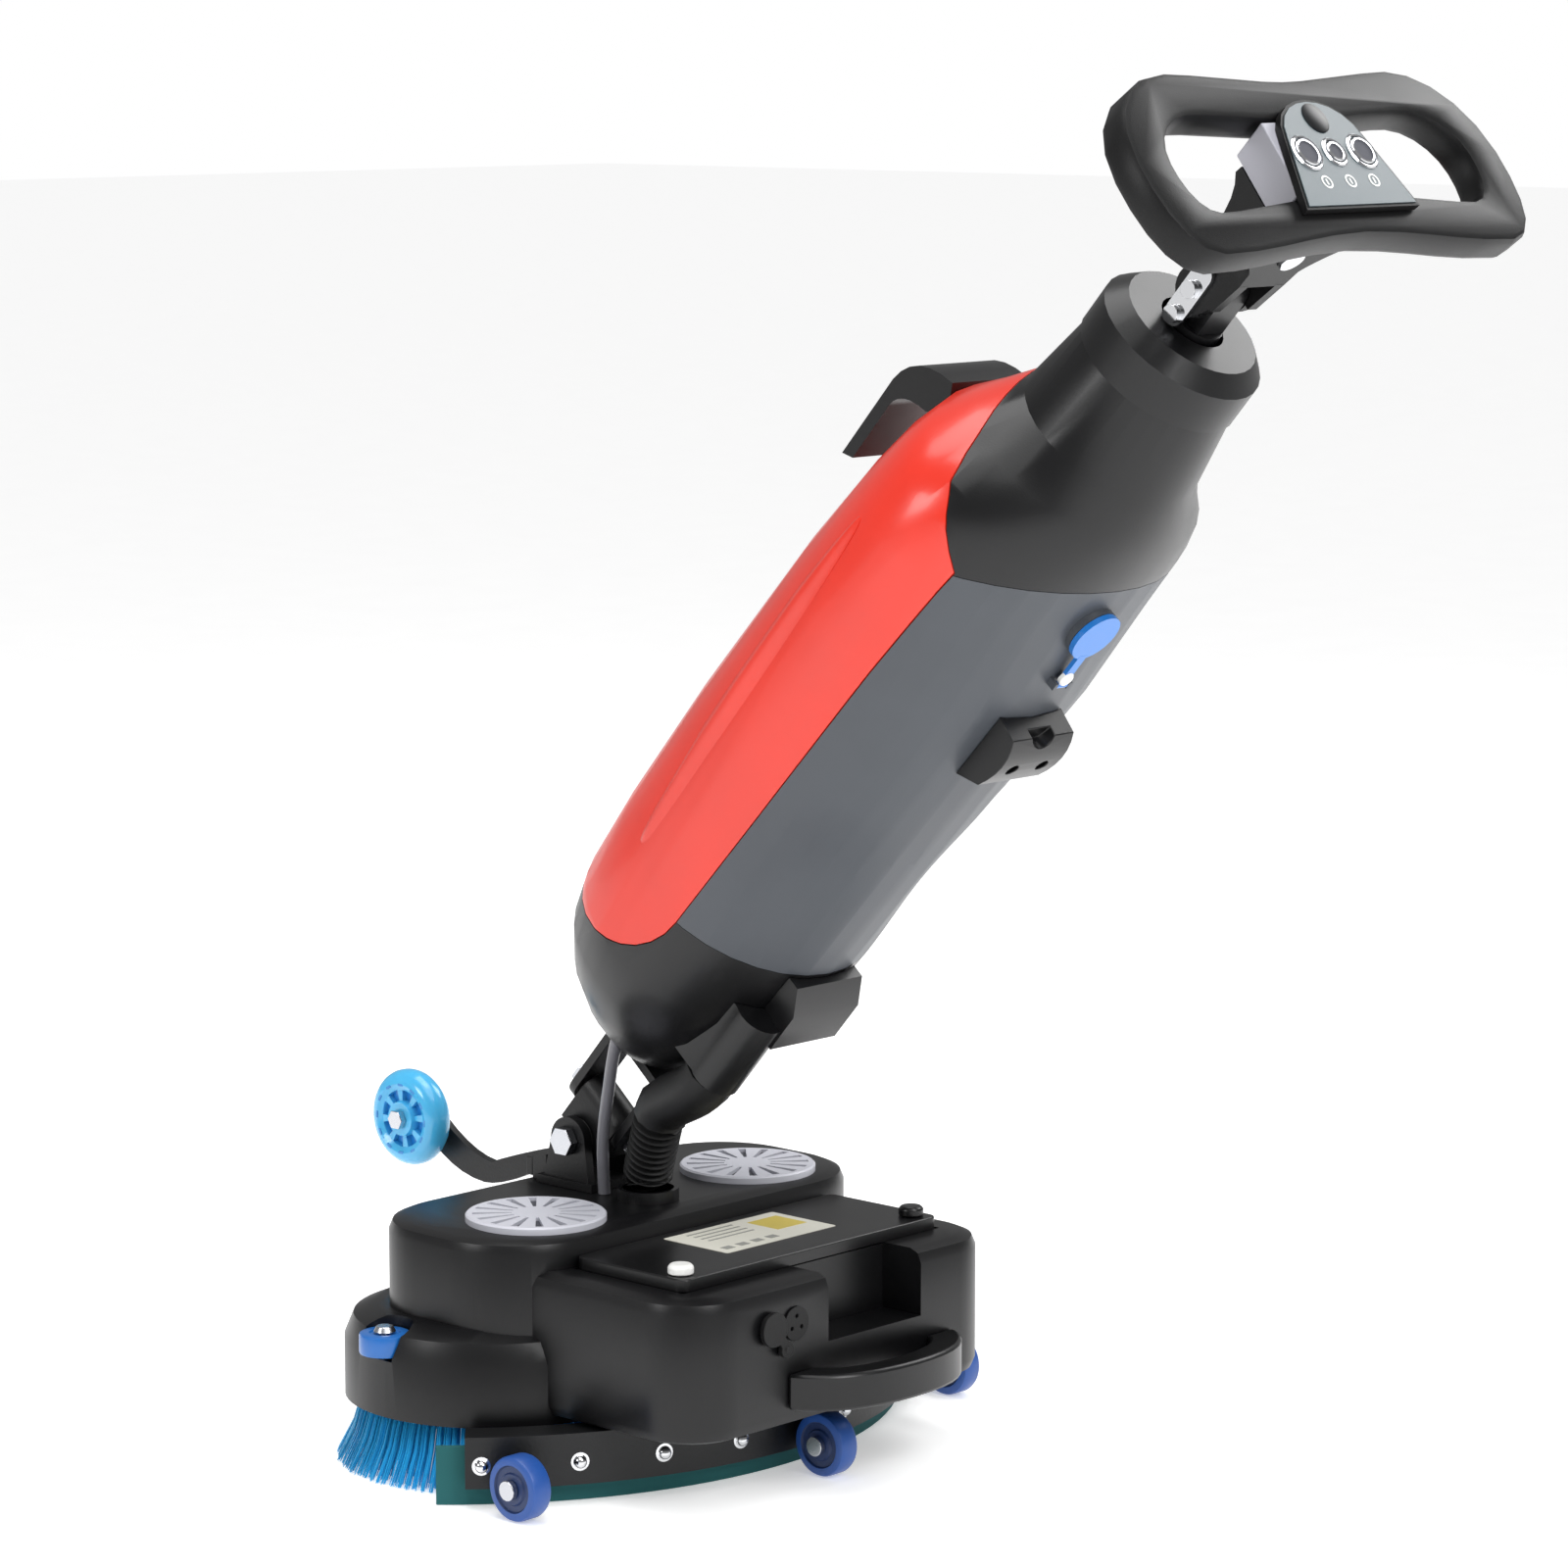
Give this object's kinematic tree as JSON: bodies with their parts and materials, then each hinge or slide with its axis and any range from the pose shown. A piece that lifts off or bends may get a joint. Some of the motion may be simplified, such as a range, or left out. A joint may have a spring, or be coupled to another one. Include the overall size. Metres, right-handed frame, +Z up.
{
  "type": "walk-behind floor scrubber",
  "caption": "Compact upright floor scrubber: low head with disc brushes and a curved squeegee, tilting tank body, looped handle and a tipping wheel in front.",
  "frame": {"origin": "on the floor, under the middle of the machine's bounding box", "axes": "+Z up, +Y the way it travels, +X to the operator's right"},
  "size_m": [0.472, 0.907, 0.9683],
  "materials": {
    "black_plastic": "satin moulded",
    "blue_plastic": "glossy moulded",
    "bright_steel": "bright zinc",
    "bristle_blue": "nylon filament",
    "cast_black": "black coated cast aluminium",
    "chrome": "polished",
    "hose_black": "ribbed flexible",
    "ice_blue": "cast polyurethane",
    "mist": "satin",
    "motor": "painted",
    "painted_black": "satin powder coat",
    "pale_grey": "satin",
    "red_shell": "glossy moulded",
    "sky_blue": "glossy moulded",
    "slate": "satin film",
    "soft_black": "matt moulded grip",
    "tank_grey": "fine satin",
    "teal_rubber": "matt",
    "white_plastic": "glossy"
  },
  "bodies": {
    "deck": {"deck_shell": "black_plastic", "chassis_plate": "painted_black", "battery_pack": "black_plastic", "charge_socket": "soft_black", "carry_handle": "black_plastic", "brush_motor_left": "motor", "brush_motor_right": "motor", "fan_cover_left": "pale_grey", "fan_cover_right": "pale_grey", "bumper_pin_left": "bright_steel", "bumper_pin_right": "bright_steel", "squeegee_channel": "cast_black", "squeegee_blade": "teal_rubber", "squeegee_axle_left": "bright_steel", "squeegee_axle_centre": "bright_steel", "squeegee_axle_right": "bright_steel", "wheel_arm": "painted_black", "transport_axle": "bright_steel", "deck_yoke": "painted_black", "pitch_bolt": "bright_steel", "suction_hose": "hose_black", "supply_tube": "mist"},
    "lid": {"battery_lid": "black_plastic"},
    "lid_knob_left": {"lid_knob_left": "white_plastic"},
    "lid_knob_right": {"lid_knob_right": "black_plastic"},
    "socket_cap": {"socket_cap": "soft_black"},
    "brush_left": {"brush_disc_left": "black_plastic", "bristles_left": "bristle_blue"},
    "brush_right": {"brush_disc_right": "black_plastic", "bristles_right": "bristle_blue"},
    "bumper_roller_left": {"bumper_roller_left": "blue_plastic"},
    "bumper_roller_right": {"bumper_roller_right": "blue_plastic"},
    "squeegee_wheel_left": {"squeegee_wheel_left": "blue_plastic"},
    "squeegee_wheel_centre": {"squeegee_wheel_centre": "blue_plastic"},
    "squeegee_wheel_right": {"squeegee_wheel_right": "blue_plastic"},
    "transport_wheel": {"transport_wheel": "ice_blue"},
    "cross": {"joint_cross": "painted_black", "roll_pin": "bright_steel"},
    "upright": {"upright_yoke": "painted_black", "base_housing": "black_plastic", "solution_tank": "tank_grey", "neck_housing": "black_plastic", "stem": "black_plastic", "hinge_plate": "chrome", "rear_hook": "black_plastic", "exhaust_box": "black_plastic", "suction_cuff": "hose_black", "vacuum_motor": "motor", "solution_pump": "black_plastic"},
    "recovery_tank": {"recovery_tank": "red_shell", "front_grip": "black_plastic"},
    "fill_cap": {"fill_cap": "sky_blue"},
    "handle": {"handle_loop": "soft_black", "control_box": "mist", "control_panel": "slate"},
    "button_left": {"button_left": "chrome"},
    "button_middle": {"button_middle": "chrome"},
    "button_right": {"button_right": "chrome"},
    "release_button": {"release_button": "chrome"}
  },
  "joints": [
    {"name": "lid_hinge", "type": "hinge", "parent": "deck", "child": "lid", "pos_m": [0, 0.11474, 0.1599], "axis": [-1, 0, 0], "range_deg": [0, 40]},
    {"name": "lid_knob_left_turn", "type": "hinge", "parent": "lid", "child": "lid_knob_left", "pos_m": [-0.118, 0.02554, 0.16], "axis": [0, 0, 1], "range_deg": [0, 90]},
    {"name": "lid_knob_right_turn", "type": "hinge", "parent": "lid", "child": "lid_knob_right", "pos_m": [0.118, 0.02554, 0.16], "axis": [0, 0, 1], "range_deg": [0, 90]},
    {"name": "socket_cap_swing", "type": "hinge", "parent": "deck", "child": "socket_cap", "pos_m": [-0.07138, -0.02746, 0.10814], "axis": [0, 1, 0], "range_deg": [0, 80]},
    {"name": "brush_left_spin", "type": "hinge", "parent": "deck", "child": "brush_left", "pos_m": [-0.115, 0.20954, 0.05], "axis": [0, 0, 1], "continuous": true},
    {"name": "brush_right_spin", "type": "hinge", "parent": "deck", "child": "brush_right", "pos_m": [0.115, 0.20954, 0.05], "axis": [0, 0, 1], "continuous": true},
    {"name": "bumper_roller_left_spin", "type": "hinge", "parent": "deck", "child": "bumper_roller_left", "pos_m": [-0.211, 0.22054, 0.095], "axis": [0, 0, 1], "continuous": true},
    {"name": "bumper_roller_right_spin", "type": "hinge", "parent": "deck", "child": "bumper_roller_right", "pos_m": [0.211, 0.22054, 0.095], "axis": [0, 0, 1], "continuous": true},
    {"name": "squeegee_wheel_left_spin", "type": "hinge", "parent": "deck", "child": "squeegee_wheel_left", "pos_m": [-0.221, 0.07716, 0.0225], "axis": [1, 0, 0], "continuous": true},
    {"name": "squeegee_wheel_centre_spin", "type": "hinge", "parent": "deck", "child": "squeegee_wheel_centre", "pos_m": [0, -0.00086, 0.0225], "axis": [1, 0, 0], "continuous": true},
    {"name": "squeegee_wheel_right_spin", "type": "hinge", "parent": "deck", "child": "squeegee_wheel_right", "pos_m": [0.221, 0.07716, 0.0225], "axis": [1, 0, 0], "continuous": true},
    {"name": "transport_wheel_spin", "type": "hinge", "parent": "deck", "child": "transport_wheel", "pos_m": [0, 0.41754, 0.193], "axis": [1, 0, 0], "continuous": true},
    {"name": "upright_lean", "type": "hinge", "parent": "deck", "child": "cross", "pos_m": [0, 0.22854, 0.207], "axis": [1, 0, 0], "range_deg": [-41.4, 12], "deforming": ["suction_hose", "supply_tube"]},
    {"name": "upright_roll", "type": "hinge", "parent": "cross", "child": "upright", "pos_m": [0, 0.2087, 0.2295], "axis": [0, 0.7501, 0.6613], "range_deg": [-25, 25]},
    {"name": "recovery_tank_slide", "type": "slide", "parent": "upright", "child": "recovery_tank", "axis": [0, 0.7501, 0.6613], "range_m": [0, 0.12]},
    {"name": "fill_cap_hinge", "type": "hinge", "parent": "upright", "child": "fill_cap", "pos_m": [0, -0.20623, 0.57226], "axis": [1, 0, 0], "range_deg": [0, 100]},
    {"name": "handle_fold", "type": "hinge", "parent": "upright", "child": "handle", "pos_m": [0, -0.33223, 0.83445], "axis": [1, 0, 0], "range_deg": [-75, 20]},
    {"name": "button_left_press", "type": "slide", "parent": "handle", "child": "button_left", "axis": [0, 0.8039, -0.5948], "range_m": [0, 0.0012], "stiffness_N_per_m": 500, "springref_m": -0.0002},
    {"name": "button_middle_press", "type": "slide", "parent": "handle", "child": "button_middle", "axis": [0, 0.8039, -0.5948], "range_m": [0, 0.0012], "stiffness_N_per_m": 500, "springref_m": -0.0002},
    {"name": "button_right_press", "type": "slide", "parent": "handle", "child": "button_right", "axis": [0, 0.8039, -0.5948], "range_m": [0, 0.0012], "stiffness_N_per_m": 500, "springref_m": -0.0002},
    {"name": "release_button_press", "type": "slide", "parent": "handle", "child": "release_button", "axis": [0, 0.5948, 0.8039], "range_m": [0, 0.004], "stiffness_N_per_m": 300, "springref_m": -0.0004}
  ]
}
